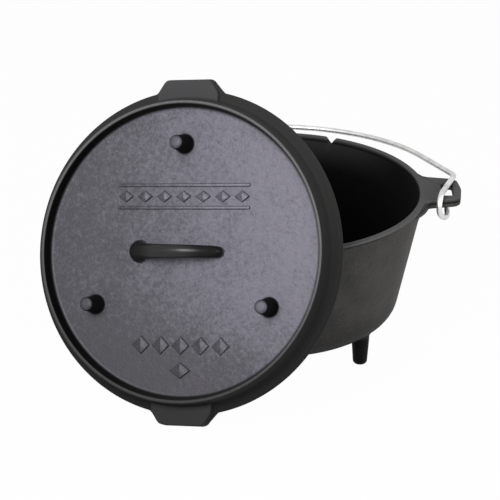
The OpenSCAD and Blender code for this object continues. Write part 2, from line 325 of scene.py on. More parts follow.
# Zones of the pot's finish: where each change starts and ends, and the way (x, y) that a slanted one runs
INSIDE_SKIN = (-0.8, 0.8)
INSIDE_LOW_Z = (UNDER_Z + 1, FLOOR_Z - 1)
INSIDE_TOP_Z = (RIM_Z - 3, RIM_Z)
UNDER_SKIN_Z = (UNDER_Z - 2, UNDER_Z + 3)
BAND_Z = RIM_Z - BAND_H
BAND_SKIN_Z = (BAND_Z, BAND_Z + 0.6)
BAND_IN_R = (MOUTH_R, MOUTH_R + 1)
BAND_OUT_R = (RIM_R + 0.3, RIM_R + 1.2)
# The painted shadow in the groove under the band
GROOVE_LOW_Z = (BAND_Z - 2.6, BAND_Z - 1.2)
GROOVE_TOP_Z = (BAND_Z - 0.2, BAND_Z + 0.3)
TOP_SKIN_Z = (RIM_Z - 1.2, RIM_Z - 0.3)
# Where the painted light on the inside's back wall lies
NECK_Z = (RIM_Z - 34, RIM_Z - 4)
NECK_ACROSS = (-0.3, 1)
NECK_BACK = (20, 110)
# Painted shade low on the wall
SHADE_LOW_Z = (UNDER_Z, UNDER_Z + 50)
# Zones of the lid's finish, in the same way
IN_RING_R = (RING_FOOT_R - 1.5, RING_FOOT_R + 0.5)
RAISED_Z = (PLATE_Z + RELIEF_H + 0.4, PLATE_Z + RELIEF_H + 2.4)
PEG_TIP_Z = (PLATE_Z + PEG_H - 2.4, PLATE_Z + PEG_H - 0.8)
HANDLE_Y = (HANDLE_W, HANDLE_W + 4)
FOOT_R = (8.0, 10.0)
PLATE_SKIN_Z = (PLATE_Z - 1, PLATE_Z)
CREST_IN_R = (RING_IN_R - 0.4, RING_IN_R + 0.6)
CREST_OUT_R = (RING_OUT_R - 1.6, RING_OUT_R - 0.4)
CREST_Z = (RING_Z - 1.6, RING_Z - 0.5)
# Painted shade on the coal ring's inner wall, thinning from left to right
RING_WALL_R = (RING_IN_R + 0.2, RING_IN_R + 1.2)
RING_WALL_Z = (PLATE_Z - 0.5, PLATE_Z + 1)
RING_WALL_SHADE_X = (-110, 120)
TAB_FACE_R = (RING_ROOT_R, RING_ROOT_R + 2)
TAB_FACE_Z = (TAB_T - 1.5, TAB_T - 0.4)
# Painted light across the plate and painted shade at its foot
PAINTED_LIGHT_WAY = (1, 0.15)
PAINTED_LIGHT_SIDE = (-130, 130)
PAINTED_SHADE_FOOT = (-125, -35)
# Painted light towards the upper side, on the crest and the tabs
PAINTED_LIGHT_UP_WAY = (0.2, 0.8)
PAINTED_LIGHT_UP_EDGE = (-110, 60)
# Painted light on the flange's upper left
PAINTED_LIGHT_FLANGE_WAY = (-0.25, 0.8)
PAINTED_LIGHT_FLANGE_EDGE = (-80, 110)
GLOSS_LEFT = (-38, -20)
GLOSS_RIGHT = (4, 24)

# Studio, in metres: the camera looks along +Y and down
CAMERA_AT = (-0.0216, -1.8957, 0.9626)
CAMERA_DOWN = 24.75
LENS = 158.4
SENSOR = 36.0
VIEW_DEPTH = 50.0
FLOOR_SPAN = 6.0
FLOOR_TONE = 0.6
FLOOR_GLOW = 0.98
WORLD_LIGHT = 0.14
LAMP_AIM = (0, -0.05, 0.1)
LAMPS = (
    ("key_lamp", (-0.62, -1.32, 1.15), 0.9, 26.0),
    ("right_lamp", (1.6, -0.7, 0.8), 0.9, 16.0),
)


def unit(vectors):
    """Vectors of length 1."""
    return vectors / np.linalg.norm(vectors, axis=-1, keepdims=True)


def rounded(corners):
    """A closed outline through corners [x, y, radius]: each corner is an arc tangent to its two sides."""
    corners = np.asarray(corners, float)
    at, radius = corners[:, :2], corners[:, 2:]
    before = unit(np.roll(at, 1, 0) - at)
    after = unit(np.roll(at, -1, 0) - at)
    half = np.arccos((before * after).sum(1, keepdims=True)) / 2
    middle = at + unit(before + after) * radius / np.sin(half)
    start = at + before * radius / np.tan(half) - middle
    bend = before[:, :1] * after[:, 1:] - before[:, 1:] * after[:, :1]
    t = np.where(bend > 0, -1, 1) * (math.pi - 2 * half) * np.linspace(0, 1, CORNER_STEPS + 1)
    x = middle[:, :1] + start[:, :1] * np.cos(t) - start[:, 1:] * np.sin(t)
    y = middle[:, 1:] + start[:, :1] * np.sin(t) + start[:, 1:] * np.cos(t)
    points = np.stack([x, y], -1).reshape(-1, 2)
    return points[np.linalg.norm(points - np.roll(points, 1, 0), axis=1) > SAME_POINT]


def dense(outline, step=SECTION_STEP):
    """An open outline with its straight runs cut into equal parts no longer than step."""
    run = np.diff(outline, axis=0)
    count = np.ceil(np.linalg.norm(run, axis=1) / step).astype(int)
    index = np.repeat(np.arange(len(run)), count)
    share = (np.arange(len(index)) - np.repeat(np.cumsum(count) - count, count)) / count[index]
    return np.vstack([outline[index] + share[:, None] * run[index], outline[-1:]])


def dense_loop(outline, step):
    """The same for a closed outline."""
    return dense(np.vstack([outline, outline[:1]]), step)[:-1]


def revolve(profile, angles):
    """A profile of points (r, z) carried round Z: (r cos a, r sin a, z)."""
    r, z = profile[:, :1], profile[:, 1:]
    return np.stack([r * np.cos(angles), r * np.sin(angles), z + 0 * angles], -1)


def circle(steps):
    """Equal angles round a full turn, the first not repeated."""
    return np.arange(steps) * TURN / steps


def smooth_step(low, high, value):
    """0 below low, 1 above high, and a smooth S between them."""
    t = np.clip((value - low) / (high - low), 0, 1)
    return t * t * (3 - 2 * t)


def inward(outline):
    """Unit normals to the left of a closed outline that runs anticlockwise."""
    along = unit(np.roll(outline, -1, 0) - np.roll(outline, 1, 0))
    return np.stack([-along[:, 1], along[:, 0]], -1)


def slab(outline, levels):
    """A closed outline carried up through levels (inset, z), each drawn in from the outline by its inset."""
    inset, z = np.asarray(levels, float).T[:, :, None]
    flat = outline[None] + inset[..., None] * inward(outline)[None]
    return np.concatenate([flat, np.broadcast_to(z[..., None], flat.shape[:2] + (1,))], -1)


def edge_levels(low, high, radius):
    """Levels of a slab from low to high, with both edges rounded."""
    a = np.linspace(0, math.pi / 2, EDGE_STEPS + 1)
    bottom = np.stack([radius * (1 - np.sin(a)), low + radius * (1 - np.cos(a))], -1)
    top = np.stack([radius * (1 - np.cos(a)), high - radius * (1 - np.sin(a))], -1)
    return np.vstack([bottom, top])


def skin(name, grid, loop=(False, True), caps=False):
    """A mesh of quads over a grid of points, closed along either way of the grid and by caps at its ends."""
    index = np.arange(grid.shape[0] * grid.shape[1]).reshape(grid.shape[:2])
    ends = [index[0].tolist(), index[-1].tolist()] if caps else []
    index = np.vstack([index, index[:1]]) if loop[0] else index
    index = np.hstack([index, index[:, :1]]) if loop[1] else index
    quads = np.stack([index[:-1, :-1], index[:-1, 1:], index[1:, 1:], index[1:, :-1]], -1)
    mesh = bpy.data.meshes.new(name)
    mesh.from_pydata((grid.reshape(-1, 3) * MM).tolist(), [], quads.reshape(-1, 4).tolist() + ends)
    shell = bmesh.new()
    shell.from_mesh(mesh)
    bmesh.ops.remove_doubles(shell, verts=shell.verts, dist=WELD)
    bmesh.ops.recalc_face_normals(shell, faces=shell.faces)
    shell.to_mesh(mesh)
    shell.free()
    mesh.polygons.foreach_set("use_smooth", np.ones(len(mesh.polygons), bool))
    mesh.set_sharp_from_angle(angle=SHARP)
    piece = bpy.data.objects.new(name, mesh)
    bpy.context.scene.collection.objects.link(piece)
    return piece


def seat(piece, body, finish):
    """Gives a piece its finish, and lets it stand for the solid of its body."""
    piece.data.materials.append(finish)
    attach(piece, body)
    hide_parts(body)


class Value:
    """A number on a node's output: + - * ** and the named functions add nodes."""

    def __init__(self, finish, socket):
        self.finish = finish
        self.socket = socket

    def math(self, operation, *sockets):
        return self.finish.add("ShaderNodeMath", {"operation": operation}, dict(enumerate(sockets)))

    def __add__(self, other):
        return self.math("ADD", self, other)

    def __radd__(self, other):
        return self.math("ADD", other, self)

    def __sub__(self, other):
        return self.math("SUBTRACT", self, other)

    def __rsub__(self, other):
        return self.math("SUBTRACT", other, self)

    def __mul__(self, other):
        return self.math("MULTIPLY", self, other)

    def __rmul__(self, other):
        return self.math("MULTIPLY", other, self)

    def __pow__(self, other):
        return self.math("POWER", self, other)

    def above(self, low, high):
        """0 below low, 1 above high, and a smooth S between them."""
        return self.finish.add(
            "ShaderNodeMapRange",
            {"interpolation_type": "SMOOTHSTEP"},
            {"Value": self, "From Min": low, "From Max": high},
        )

    def within(self, rise, fall):
        """0 before the rise, 1 between the rise and the fall, and 0 after the fall."""
        return self.above(*rise) * (1 - self.above(*fall))


class Finish:
    """The nodes of a material or a world. add() makes one node: its type, its settings, then its sockets."""

    def __init__(self, owner):
        owner.use_nodes = True
        self.owner = owner
        self.tree = owner.node_tree
        self.tree.nodes.clear()

    def add(self, kind, settings=(), sockets=(), output=0):
        node = self.tree.nodes.new(kind)
        for key, value in dict(settings).items():
            setattr(node, key, value)
        for key, value in dict(sockets).items():
            if isinstance(value, Value):
                self.tree.links.new(value.socket, node.inputs[key])
            else:
                node.inputs[key].default_value = value
        return Value(self, node.outputs[output]) if node.outputs else node

    def noise(self, place, size, detail, roughness):
        """Noise from 0 to 1 whose patches are about size millimetres across."""
        sockets = {"Vector": place, "Scale": 1 / (size * MM), "Detail": detail, "Roughness": roughness}
        return self.add("ShaderNodeTexNoise", (), sockets)

    def mix(self, share, first, second):
        """A colour between two others."""
        return self.add(
            "ShaderNodeMix",
            {"data_type": "RGBA", "clamp_factor": True},
            {0: share, 6: first, 7: second},
            output=2,
        )

    def xyz(self, place):
        """The three coordinates of a place, in millimetres."""
        parts = [self.add("ShaderNodeSeparateXYZ", (), {"Vector": place}, output=i) for i in range(3)]
        return [part * (1 / MM) for part in parts]

    def white_in_view(self):
        """1 for what is seen straight, mirrored or through glass, and 0 for the light on the object."""
        rays = ("Is Camera Ray", "Is Glossy Ray", "Is Transmission Ray")
        seen, mirrored_ray, through = (self.add("ShaderNodeLightPath", output=ray) for ray in rays)
        return self.add(
            "ShaderNodeMath",
            {"operation": "ADD", "use_clamp": True},
            {0: seen + mirrored_ray, 1: through},
        )

    def surface(self, shader, kind="Material"):
        """Sets the shader that the material or world shows, and returns its owner."""
        self.add("ShaderNodeOutput" + kind, (), {"Surface": shader})
        return self.owner


def colour(level, warm=0.0):
    """A grey of that linear level, turned a little towards brown or, below zero, towards violet."""
    return (level * (1 + max(warm, 0)), level * (1 - abs(warm) * WARM_GREEN), level * (1 - warm), 1.0)


def across(x, y, way):
    """How far a place lies along a way (x, y) over the lid or the pot."""
    return x * way[0] + y * way[1]


def squares(zone):
    """A zone of distances as one of squared distances."""
    return [edge**2 for edge in zone]


def cast_grain(finish, place):
    """Height in metres of a sand-cast skin: grains of sand, shallow swells and a few pits."""
    sand = finish.noise(place, *SAND)
    swell = finish.noise(place, *SWELL)
    pits = finish.noise(place, *PITS).above(*PIT_SHARE)
    return sand * (SAND_H * MM) + swell * (SWELL_H * MM) - pits * (PIT_H * MM)


def cast_iron(finish, place, tone, roughness, metal, coat):
    """Iron with a cast skin under a thin coat of baked oil."""
    normal = finish.add(
        "ShaderNodeBump",
        (),
        {"Strength": GRAIN_STRENGTH, "Distance": 1.0, "Height": cast_grain(finish, place)},
    )
    return finish.add(
        "ShaderNodeBsdfPrincipled",
        (),
        {
            "Base Color": tone,
            "Roughness": roughness,
            "Metallic": metal,
            "Coat Weight": coat,
            "Coat Roughness": COAT_ROUGHNESS,
            "Specular IOR Level": OIL_GLOSS,
            "Normal": normal,
        },
    )


def pot_iron():
    """The pot's finish: grey outside; oil-black with painted shade inside, with painted light on the back
    wall near the top; painted shade underneath, low on the wall and in the groove under the band; rubbed and
    with painted light on the rim and the ears.
    """
    finish = Finish(bpy.data.materials.new("seasoned_pot_iron"))
    place = finish.add("ShaderNodeTexCoord", output="Object")
    x, y, z = finish.xyz(place)
    r = (x * x + y * y) ** 0.5
    cloud = finish.noise(place, *CLOUD)
    speck = finish.noise(place, *SPECK)
    wall = (MOUTH_R + WALL_RUN / 2 - RIM_Z * WALL_SLOPE) + z * WALL_SLOPE
    # The inside's near-black tone is oil and also painted shade.
    inside = (wall - r).above(*INSIDE_SKIN) * z.within(INSIDE_LOW_Z, INSIDE_TOP_Z)
    under = 1 - z.above(*UNDER_SKIN_Z)
    band = z.above(*BAND_SKIN_Z) * r.within(BAND_IN_R, BAND_OUT_R)
    top = z.above(*TOP_SKIN_Z)
    patchy = ((cloud + speck) * 0.5).above(*POT_PATCHES)
    cast_skin = finish.mix(patchy, colour(*POT_DARK), colour(*POT_LIGHT))
    # The rim, band and ear tops are rubbed lighter and also carry painted light from above.
    rubbed_and_lit = finish.mix(RUBBED_AND_LIT * (top + (1 - top) * band), cast_skin, colour(*POT_TOP))
    # Painted light: the back wall of the inside is lighter near the top.
    painted_light_inside = z.above(*NECK_Z) * across(x, y, NECK_ACROSS).above(*NECK_BACK)
    inside_oil_shade_and_light = finish.mix(painted_light_inside, colour(*POT_INSIDE), colour(*POT_INSIDE_LIT))
    oiled_and_shaded = finish.mix(inside, rubbed_and_lit, inside_oil_shade_and_light)
    # Painted shade: darker underneath and low on the wall, and a painted shadow in the groove under the
    # band.
    groove = z.within(GROOVE_LOW_Z, GROOVE_TOP_Z)
    painted_shade_below = SHADE_UNDER * under + SHADE_LOW * (1 - z.above(*SHADE_LOW_Z)) + SHADE_GROOVE * groove
    tone = finish.mix(painted_shade_below, oiled_and_shaded, colour(*POT_SHADE))
    roughness = POT_ROUGHNESS + SPECK_ROUGHNESS * speck + CLOUD_ROUGHNESS * cloud
    return finish.surface(cast_iron(finish, place, tone, roughness, 0.0, 0.0))


def lid_iron():
    """The lid's finish: a violet-grey plate with painted light across it and painted shade at its foot, in a
    dark ring with a painted highlight on its crest and painted shade on its inner wall; darker pegs whose
    sides carry painted shade, a darker handle, and a darker flange and tabs with painted light towards the
    upper side.
    """
    finish = Finish(bpy.data.materials.new("seasoned_lid_iron"))
    place = finish.add("ShaderNodeTexCoord", output="Object")
    turn = Matrix(LID_AXES.tolist()).to_euler()
    local = finish.add(
        "ShaderNodeMapping",
        {"vector_type": "TEXTURE"},
        {"Vector": place, "Location": (LID_SEAT * MM).tolist(), "Rotation": turn},
    )
    x, y, z = finish.xyz(local)
    r = (x * x + y * y) ** 0.5
    cloud = finish.noise(place, *CLOUD)
    speck = finish.noise(place, *SPECK)
    mottle = finish.noise(place, *MOTTLE)

    in_ring = 1 - r.above(*IN_RING_R)
    raised = z.above(*RAISED_Z)
    tips = TIP_LIT * in_ring * z.above(*PEG_TIP_Z)
    bar = in_ring * raised * (1 - (y * y).above(*squares(HANDLE_Y)))
    from_foot = [(x - fx) * (x - fx) + (y - fy) * (y - fy) for fx, fy in [*PEG_PLACES, BOSS_PLACE]]
    feet = sum(1 - square.above(*squares(FOOT_R)) for square in from_foot)
    # Painted shade on the pegs' sides and round the feet of the pegs and the handle; the tips keep the
    # plate's lit tone.
    sides = in_ring * (raised + (1 - raised) * feet * z.above(*PLATE_SKIN_Z)) * (1 - tips)
    # Painted highlight along the coal ring's crest.
    crest = r.within(CREST_IN_R, CREST_OUT_R) * z.above(*CREST_Z)
    outside = (1 - in_ring) * (1 - crest)
    # Painted shade on the coal ring's inner wall, darkest on the left.
    painted_shade_ring_wall = outside * (1 - r.above(*RING_WALL_R)) * z.above(*RING_WALL_Z)
    # Painted light on the tabs' top faces.
    tab_face = outside * r.above(*TAB_FACE_R) * z.above(*TAB_FACE_Z)

    # Painted light and shade on the plate: lighter to the right, darker towards its foot; the plate's
    # patches mix it with the noise.
    plate_painted_light = across(x, y, PAINTED_LIGHT_WAY).above(*PAINTED_LIGHT_SIDE) - PAINTED_SHADE_FOOT_DEPTH * (1 - y.above(*PAINTED_SHADE_FOOT))
    noises = PLATE_CLOUD * cloud + PLATE_SPECK * speck + PLATE_MOTTLE * mottle
    patchy = (noises + PLATE_PAINTED_LIGHT * plate_painted_light - PLATE_OFFSET).above(*PLATE_PATCHES)
    # Painted light: lighter towards the upper side of the lid.
    painted_light_up = across(x, y, PAINTED_LIGHT_UP_WAY).above(*PAINTED_LIGHT_UP_EDGE)
    # Painted light on the flange, lighter towards its upper left.
    painted_light_flange = across(x, y, PAINTED_LIGHT_FLANGE_WAY).above(*PAINTED_LIGHT_FLANGE_EDGE)
    tone = finish.mix(patchy, colour(*PLATE_DARK), colour(*PLATE_LIGHT))
    flange_tone = finish.mix(painted_light_flange, colour(*FLANGE_SHADED), colour(*FLANGE_LIT))
    crest_painted_highlight = finish.mix(painted_light_up, colour(*CREST_SHADED), colour(*CREST_LIT))
    ring_wall_painted_shade = finish.mix(x.above(*RING_WALL_SHADE_X), colour(*RING_WALL_DEEP_SHADE), colour(*RING_WALL_THIN_SHADE))
    tab_painted_light = finish.mix(painted_light_up, colour(*TAB_SHADED), colour(*TAB_LIT))
    layers = (
        (outside, flange_tone),
        (crest, crest_painted_highlight),
        (sides, colour(*PEG_SIDE_SHADE)),
        (bar, colour(*HANDLE_BAR)),
        (painted_shade_ring_wall, ring_wall_painted_shade),
        (tab_face, tab_painted_light),
    )
    for mask, layer in layers:
        tone = finish.mix(mask, tone, layer)

    grainy = SPECK_ROUGHNESS * speck + CLOUD_ROUGHNESS * cloud
    roughness = PLATE_ROUGHNESS + grainy + FLANGE_ROUGHNESS * (outside + sides) - HANDLE_SHINE * bar
    metal = PLATE_METAL * (1 - outside) * (1 - sides)
    coat = BAR_COAT + CROWN_COAT * x.within(GLOSS_LEFT, GLOSS_RIGHT)
    return finish.surface(cast_iron(finish, place, tone, roughness, metal, coat * bar))


def zinc_wire():
    """Bright zinc plate on drawn steel wire, a little dull in patches."""
    finish = Finish(bpy.data.materials.new("zinc_plated_wire"))
    place = finish.add("ShaderNodeTexCoord", output="Object")
    tarnish = finish.noise(place, *TARNISH)
    spangle = finish.noise(place, *SPANGLE)
    tone = finish.mix(tarnish.above(*ZINC_PATCHES), colour(*ZINC_BRIGHT), colour(*ZINC_DULL))
    normal = finish.add(
        "ShaderNodeBump",
        (),
        {"Strength": SPANGLE_STRENGTH, "Distance": 1.0, "Height": spangle * (SPANGLE_H * MM)},
    )
    roughness = ZINC_ROUGHNESS + TARNISH_ROUGHNESS * tarnish
    shader = finish.add(
        "ShaderNodeBsdfPrincipled",
        (),
        {"Base Color": tone, "Metallic": ZINC_METAL, "Roughness": roughness, "Normal": normal},
    )
    return finish.surface(shader)


def lid_place():
    """The leaning lid's axes, as columns, and the middle of its seat, from the tips of its three pegs."""
    tips = np.array([mounts[name]["pos_m"] for name in ("peg_top", "peg_left", "peg_right")]) / MM
    normal = unit(np.array(mounts["peg_top"]["axis"], float))
    up = unit(tips[0] - tips.mean(0))
    axes = np.stack([np.cross(up, normal), up, normal], -1)
    return axes, tips.mean(0) - normal * (PLATE_Z + PEG_H)


LID_AXES, LID_SEAT = lid_place()


def on_lid(points):
    """Points given from the middle of the lid's seat, put where the lid leans."""
    return points @ LID_AXES.T + LID_SEAT


def wall_r(z):
    """Outside radius of the pot's wall at a height, without the band."""
    return MOUTH_R + WALL_RUN - (RIM_Z - z) * WALL_SLOPE


def pot_shell():
    """The pot's section revolved, with its rim pulled down to a round-bottomed V at the notch."""
    profile = rounded([
        [0, UNDER_Z, 0],
        [wall_r(UNDER_Z), UNDER_Z, CORNER_R],
        [wall_r(RIM_Z - BAND_H), RIM_Z - BAND_H, BAND_STEP_R],
        [RIM_R, RIM_Z - BAND_H, BAND_STEP_R],
        [RIM_R, RIM_Z, RIM_EDGE_R],
        [MOUTH_R, RIM_Z, RIM_EDGE_R],
        [FLOOR_R, FLOOR_Z, CORNER_R - WALL_T],
        [0, FLOOR_Z, 0],
    ])
    reach = NOTCH_W / MOUTH_R
    near = NOTCH_AT + np.linspace(-reach, reach, NOTCH_STEPS)
    far = circle(ROUND_STEPS)
    angles = np.sort(np.concatenate([near, far[np.abs(far - NOTCH_AT) > reach * NOTCH_CLEAR]]))
    grid = revolve(dense(profile), angles)
    aside = (angles - NOTCH_AT) * (MOUTH_R + RIM_R) / 2
    rise = np.sqrt(aside**2 + NOTCH_ROUND**2) - NOTCH_ROUND
    floor = RIM_Z - NOTCH_DEPTH + rise * NOTCH_DEPTH / (NOTCH_W / 2)
    grid[..., 2] = np.minimum(grid[..., 2], floor)
    return skin("pot_shell", grid)


def pot_leg(name, place):
    """A tapered leg revolved, its flared root bent up to follow the pot's underside."""
    profile = rounded([
        [0, 0, 0],
        [LEG_TIP_D / 2, 0, LEG_TIP_D / 4],
        [LEG_ROOT_D / 2, UNDER_Z, LEG_FLARE],
        [LEG_ROOT_D / 2 + LEG_FLARE, UNDER_Z, 0],
        [LEG_ROOT_D / 2, UNDER_Z + ROOT, 0],
        [0, UNDER_Z + ROOT, 0],
    ])
    grid = revolve(dense(profile, FINE_STEP), circle(SMALL_ROUND_STEPS)) + place
    flat_r = wall_r(UNDER_Z) - CORNER_R * math.tan((math.pi / 2 - WALL_LEAN) / 2)
    past = np.clip(np.hypot(grid[..., 0], grid[..., 1]) - flat_r, 0, None)
    lift = CORNER_R - np.sqrt(CORNER_R**2 - past**2)
    grid[..., 2] += lift * smooth_step(UNDER_Z - LEG_BEND, UNDER_Z, grid[..., 2])
    return skin(name, grid)


def rim_x(y):
    """Distance of the rim's outside from the YZ plane."""
    return math.sqrt(RIM_R**2 - y**2)


def ear_outline():
    """The ear's edge from one fillet round to the other, closed by an arc inside the pot's wall."""
    half = EAR_ROOT_W / 2
    spread = half + EAR_FILLET
    edge = rounded([
        [rim_x(spread) - ROOT, -spread - ROOT, 0],
        [rim_x(spread), -spread, 0],
        [rim_x(half), -half, EAR_FILLET],
        [EAR_X - EAR_BULGE, -EAR_W / 2, EAR_CORNER_R],
        [EAR_X, 0, EAR_W],
        [EAR_X - EAR_BULGE, EAR_W / 2, EAR_CORNER_R],
        [rim_x(half), half, EAR_FILLET],
        [rim_x(spread), spread, 0],
        [rim_x(spread) - ROOT, spread + ROOT, 0],
    ])[2:-2]
    edge = dense(edge, EAR_STEP)
    reach = math.atan2(edge[-1, 1], edge[-1, 0])
    in_wall = np.linspace(reach, -reach, EAR_WALL_STEPS)[:, None]
    return np.vstack([edge, (MOUTH_R + WALL_RUN / 2) * np.hstack([np.cos(in_wall), np.sin(in_wall)])])


def slot_outline():
    """The ear's slot, with a wider round in its inner back corner."""
    low_x, high_x = SLOT_X - SLOT_W / 2 + SLOT_LIP, SLOT_X + SLOT_W / 2
    corners = [
        [low_x, -SLOT_L / 2, SLOT_R],
        [high_x, -SLOT_L / 2, SLOT_R],
        [high_x, SLOT_L / 2, SLOT_R],
        [low_x, SLOT_L / 2, SLOT_BACK_R],
    ]
    return dense_loop(rounded(corners), SLOT_STEP)


def pot_ear(name, side):
    """A bar with rounded edges carried round the slot: its outer wall is the ear's outline, its inner the
    slot's, met along rays from the slot's middle."""
    outer, slot = ear_outline(), slot_outline()
    facing = np.arctan2(outer[:, 1], outer[:, 0] - SLOT_X)
    order = np.arctan2(slot[:, 1], slot[:, 0] - SLOT_X)
    inner = np.stack([np.interp(facing, order, slot[:, i], period=TURN) for i in range(2)], -1)
    normal = np.stack([np.interp(facing, order, inward(slot)[:, i], period=TURN) for i in range(2)], -1)
    levels = edge_levels(RIM_Z - EAR_DEPTH, RIM_Z, EAR_EDGE_R)
    around = slab(outer, levels)
    through = inner[None] - levels[::-1, :1, None] * normal[None]
    heights = np.broadcast_to(levels[::-1, 1:, None], through.shape[:2] + (1,))
    grid = np.concatenate([around, np.concatenate([through, heights], -1)])
    sunk = 1 - smooth_step(*EAR_SINK_R, np.hypot(grid[..., 0], grid[..., 1]))
    grid[..., 2] -= EAR_SINK * sunk * smooth_step(RIM_Z - EAR_T / 2, RIM_Z, grid[..., 2])
    grid[..., 0] *= side
    return skin(name, grid, loop=(True, True))


def pot_ear_web(name, side):
    """The cast web under an ear: a hollow face from the ear's underside to the wall, which dies out at both
    ends by 1 - (angle / reach)^4."""
    reach = math.asin(EAR_WEB_W / 2 / RIM_R)
    steps_along, steps_down = EAR_WEB_STEPS
    angles = np.linspace(-reach, reach, steps_along)[:, None]
    full = 1 - (angles / reach) ** 4
    t = np.linspace(0, 1, steps_down)
    under, top = RIM_Z - EAR_DEPTH, RIM_Z - BAND_H + EAR_WEB_TOP
    z = under - EAR_WEB_DROP * full * (1 - t) ** 2
    r = wall_r(z) + (EAR_WEB_OUT * full + EAR_WEB_SUNK) * t**2 - EAR_WEB_SUNK
    z = np.hstack([z, 0 * full + top, 0 * full + top, z[:, :1]])
    r = np.hstack([r, r[:, -1:], 0 * full + wall_r(under) - ROOT, r[:, :1] - ROOT])
    grid = np.stack([side * r * np.cos(angles), r * np.sin(angles), z], -1)
    return skin(name, grid, caps=True)


def lid_dish():
    """The lid's section revolved: plate, coal ring, flange and lip."""
    profile = rounded([
        [0, PLATE_RISE, 0],
        [RING_FOOT_R, PLATE_RISE, UNDER_FILLET_R],
        [LIP_R - LIP_T, -LIP_H, LIP_EDGE_R],
        [LIP_R, -LIP_H, LIP_EDGE_R],
        [LIP_R, 0, LIP_EDGE_R],
        [FLANGE_R, 0, FLANGE_EDGE_R],
        [FLANGE_R, FLANGE_T, FLANGE_TOP_R],
        [RING_ROOT_R, FLANGE_T, COVE_R],
        [RING_OUT_R, RING_Z, RING_EDGE_R],
        [RING_IN_R, RING_Z, RING_EDGE_R],
        [RING_FOOT_R, PLATE_Z, RING_FILLET_R],
        [0, PLATE_Z, 0],
    ])
    return skin("lid_dish", on_lid(revolve(dense(profile), circle(ROUND_STEPS))))


def mirrored(right):
    """A closed outline of corners [x, y, radius] from its right half, given from its back to its front."""
    return rounded(right + [[-x, y, radius] for x, y, radius in right[::-1]])


def lid_tab(name, end):
    """A tab's block carried up from the flange's seat and drawn in by its draft, its back in the ring."""
    half = TAB_FOOT_W / 2
    right = [[half, RING_IN_R - ROOT, 0], [half, TAB_FOOT_Y, TAB_ROOT_R], [TAB_W / 2, TAB_EDGE, TAB_R]]
    outline = mirrored(right)
    levels = edge_levels(TAB_LIFT, TAB_T, TAB_EDGE_R)
    levels[:, 0] += TAB_DRAFT * levels[:, 1] / TAB_T
    grid = slab(dense_loop(outline, FINE_STEP), levels)
    return skin(name, on_lid(grid * [end, end, 1]), caps=True)


def lid_tab_foot(name, end):
    """The lower foot of a tab, whose sides curve into the flange's edge."""
    half = TAB_FOOT_W / 2
    root = half + TAB_ROOT_OUT
    wide = root + TAB_ROOT_R
    wide_y = math.sqrt(FLANGE_R**2 - wide**2) - SUNK
    front_y = TAB_FOOT_Y + TAB_ROOT_R
    right = [
        [wide, RING_ROOT_R - 2 * ROOT, 0],
        [wide, wide_y, 0],
        [root, math.sqrt(FLANGE_R**2 - root**2) - SUNK, TAB_ROOT_R],
        [half - (front_y - TAB_FOOT_Y) * TAB_SLANT - TAB_FOOT_IN, front_y, 0],
    ]
    grid = slab(mirrored(right), edge_levels(TAB_LIFT, FLANGE_T - SUNK, TAB_EDGE_R))
    return skin(name, on_lid(grid * [end, end, 1]), caps=True)


def lid_peg(name, middle):
    """A tapered peg revolved, with a flared root."""
    profile = rounded([
        [0, -ROOT, 0],
        [PEG_ROOT_D / 2, -ROOT, 0],
        [PEG_ROOT_D / 2 + PEG_FLARE, 0, 0],
        [PEG_ROOT_D / 2, 0, PEG_FLARE],
        [PEG_TIP_D / 2, PEG_H, PEG_TIP_R],
        [0, PEG_H, 0],
    ])
    at = np.array([*middle, PLATE_Z])
    return skin(name, on_lid(revolve(dense(profile, FINE_STEP), circle(SMALL_ROUND_STEPS)) + at))


def lid_handle():
    """Ovals carried along half an ellipse, from a round foot that flares out to a narrower one."""
    steps_along, steps_round = HANDLE_STEPS
    a = np.linspace(0, math.pi, steps_along)[:, None]
    t = circle(steps_round)
    mid_z = HANDLE_H - HANDLE_T / 2
    bar_w = (HANDLE_W + (HANDLE_END_W - HANDLE_W) * a / math.pi) / 2
    bar_t = HANDLE_T / 2 * (1 + HANDLE_SWELL * np.cos(a) ** 2)
    boss = np.where(a < math.pi / 2, (1 - np.sin(a)) ** 2, 0)
    half_w = bar_w + (BOSS_D / 2 - bar_w) * boss
    half_t = bar_t + (BOSS_D / 2 - bar_t) * boss
    along = unit(np.concatenate([HANDLE_SPAN / 2 * np.sin(a), mid_z * np.cos(a)], -1))
    x = -HANDLE_SPAN / 2 * np.cos(a) - along[:, 1:] * half_t * np.sin(t)
    y = -half_w * np.cos(t)
    z = mid_z * np.sin(a) + along[:, :1] * half_t * np.sin(t)
    arch = np.stack([x, y, z], -1)
    sunk = np.array([0, 0, ROOT])
    grid = np.concatenate([arch[:1] - sunk, arch, arch[-1:] - sunk])
    return skin("lid_handle", on_lid(grid + [-HANDLE_ASIDE, 0, PLATE_Z]), caps=True)


def relief(name, corners, middle):
    """A low raised figure on the plate: its outline drawn in as it rises, with a soft top edge."""
    outline = rounded(corners)
    levels = [(0, -RELIEF_SUNK)] + [(inset, RELIEF_H * share) for inset, share in RELIEF_EDGE]
    grid = slab(outline, levels) + [middle[0], middle[1], PLATE_Z]
    return skin(name, on_lid(grid), caps=True)


